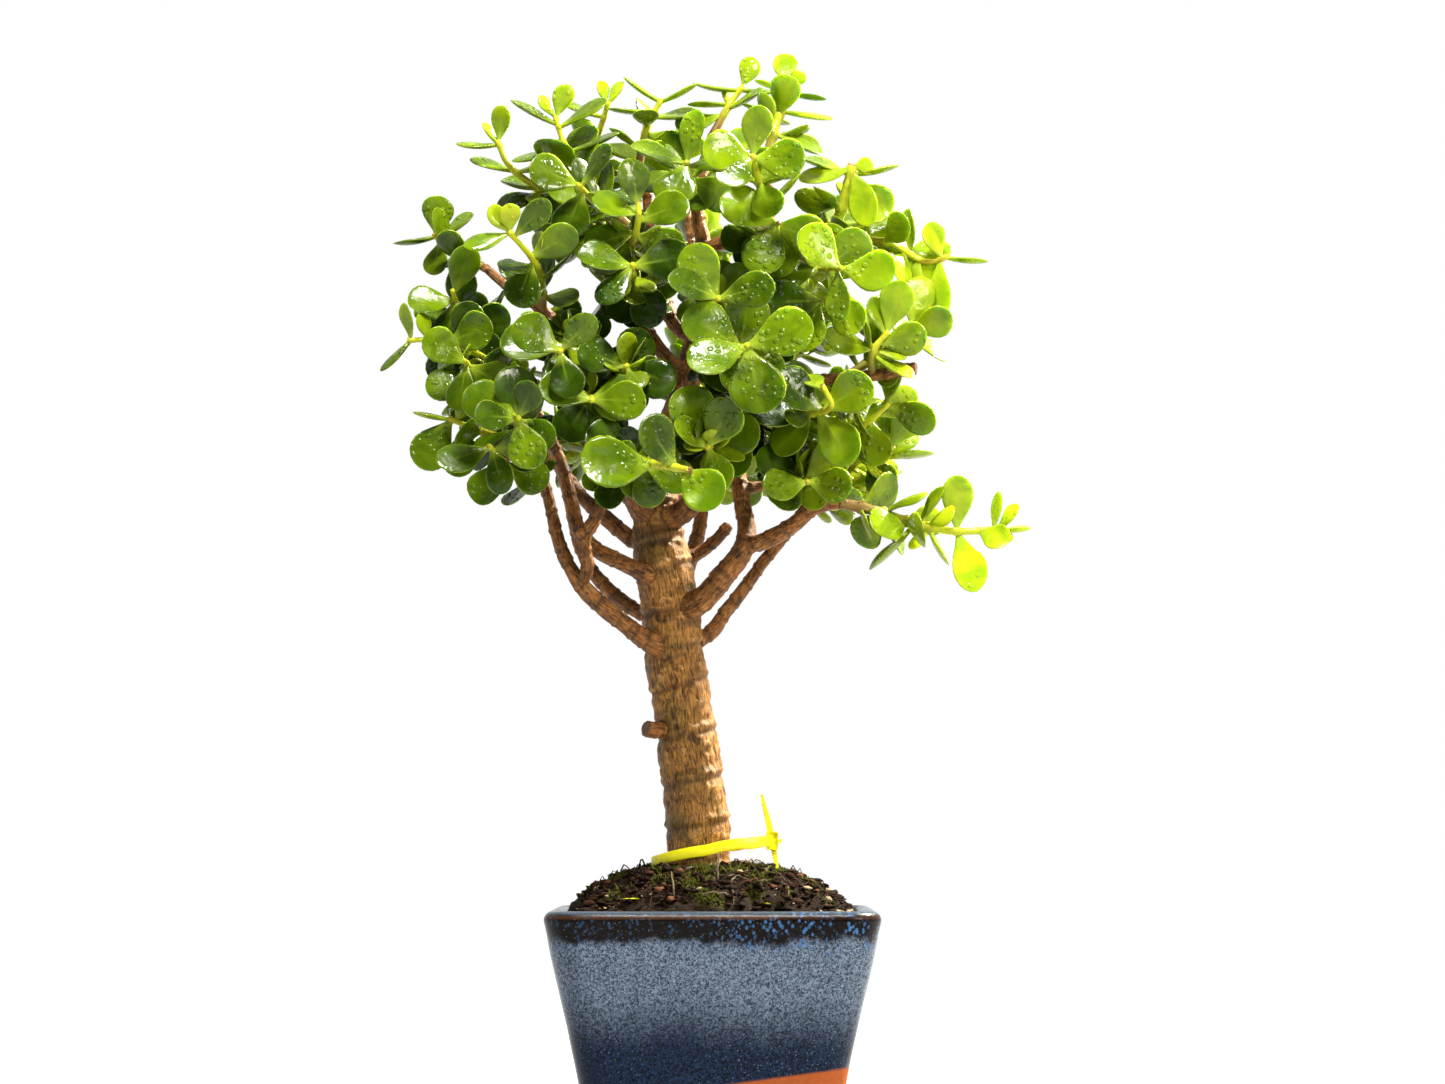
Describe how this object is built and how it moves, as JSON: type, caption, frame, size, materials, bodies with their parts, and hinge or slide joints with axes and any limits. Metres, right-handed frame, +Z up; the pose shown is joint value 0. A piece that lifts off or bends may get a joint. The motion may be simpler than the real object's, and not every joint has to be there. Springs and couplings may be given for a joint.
{
  "type": "potted plant",
  "caption": "Small jade tree with a bare leaning trunk and a round leafy crown, planted in a square glazed pot, with a yellow plastic strap round the trunk's foot.",
  "frame": {"origin": "middle of the pot's flat underside", "axes": "+Z up along the trunk, -Y towards the front of the plant, +X to the plant's right as seen from the front"},
  "size_m": [0.2489, 0.1842, 0.4068],
  "materials": {
    "glaze": "gloss",
    "mesh_plastic": "matte",
    "soil": "matte",
    "strap_plastic": "satin",
    "bark": "satin",
    "leaf": "satin"
  },
  "bodies": {
    "root": {"drain_mesh": "mesh_plastic", "pot": "glaze", "shoot_back_centre": "leaf", "shoot_back_crown": "leaf", "shoot_back_high": "leaf", "shoot_back_left_high": "leaf", "shoot_back_left_side": "leaf", "shoot_back_low_right": "leaf", "shoot_back_middle": "leaf", "shoot_back_right_high": "leaf", "shoot_back_right_side": "leaf", "shoot_bare_branch_shoot": "leaf", "shoot_big_leaf_front": "leaf", "shoot_centre_left": "leaf", "shoot_crown_front": "leaf", "shoot_crown_stub": "leaf", "shoot_far_back_left_top": "leaf", "shoot_far_back_right_low": "leaf", "shoot_far_back_right_top": "leaf", "shoot_front_centre": "leaf", "shoot_front_low": "leaf", "shoot_front_mid": "leaf", "shoot_front_mid_low": "leaf", "shoot_left_back_high": "leaf", "shoot_left_back_low": "leaf", "shoot_left_far": "leaf", "shoot_left_front_high": "leaf", "shoot_left_high": "leaf", "shoot_left_low_far": "leaf", "shoot_left_low_front": "leaf", "shoot_left_shoulder": "leaf", "shoot_left_side_low": "leaf", "shoot_left_tip": "leaf", "shoot_left_top": "leaf", "shoot_pair_mid": "leaf", "shoot_right_dark": "leaf", "shoot_right_far": "leaf", "shoot_right_far_low": "leaf", "shoot_right_long": "leaf", "shoot_right_low_front": "leaf", "shoot_right_mid": "leaf", "shoot_right_tip_low": "leaf", "shoot_right_tip_mid": "leaf", "shoot_right_upper": "leaf", "shoot_rosette_left": "leaf", "shoot_rosette_low_left": "leaf", "shoot_rosette_mid_left": "leaf", "shoot_rosette_upper": "leaf", "shoot_top_back_left": "leaf", "shoot_top_back_right": "leaf", "shoot_top_front": "leaf", "shoot_top_left": "leaf", "shoot_top_mid": "leaf", "shoot_top_mid_left": "leaf", "shoot_top_right_tip": "leaf", "shoot_upper_right_cut": "leaf", "soil": "soil", "strap": "strap_plastic", "trunk_and_limbs": "bark"}
  },
  "joints": []
}
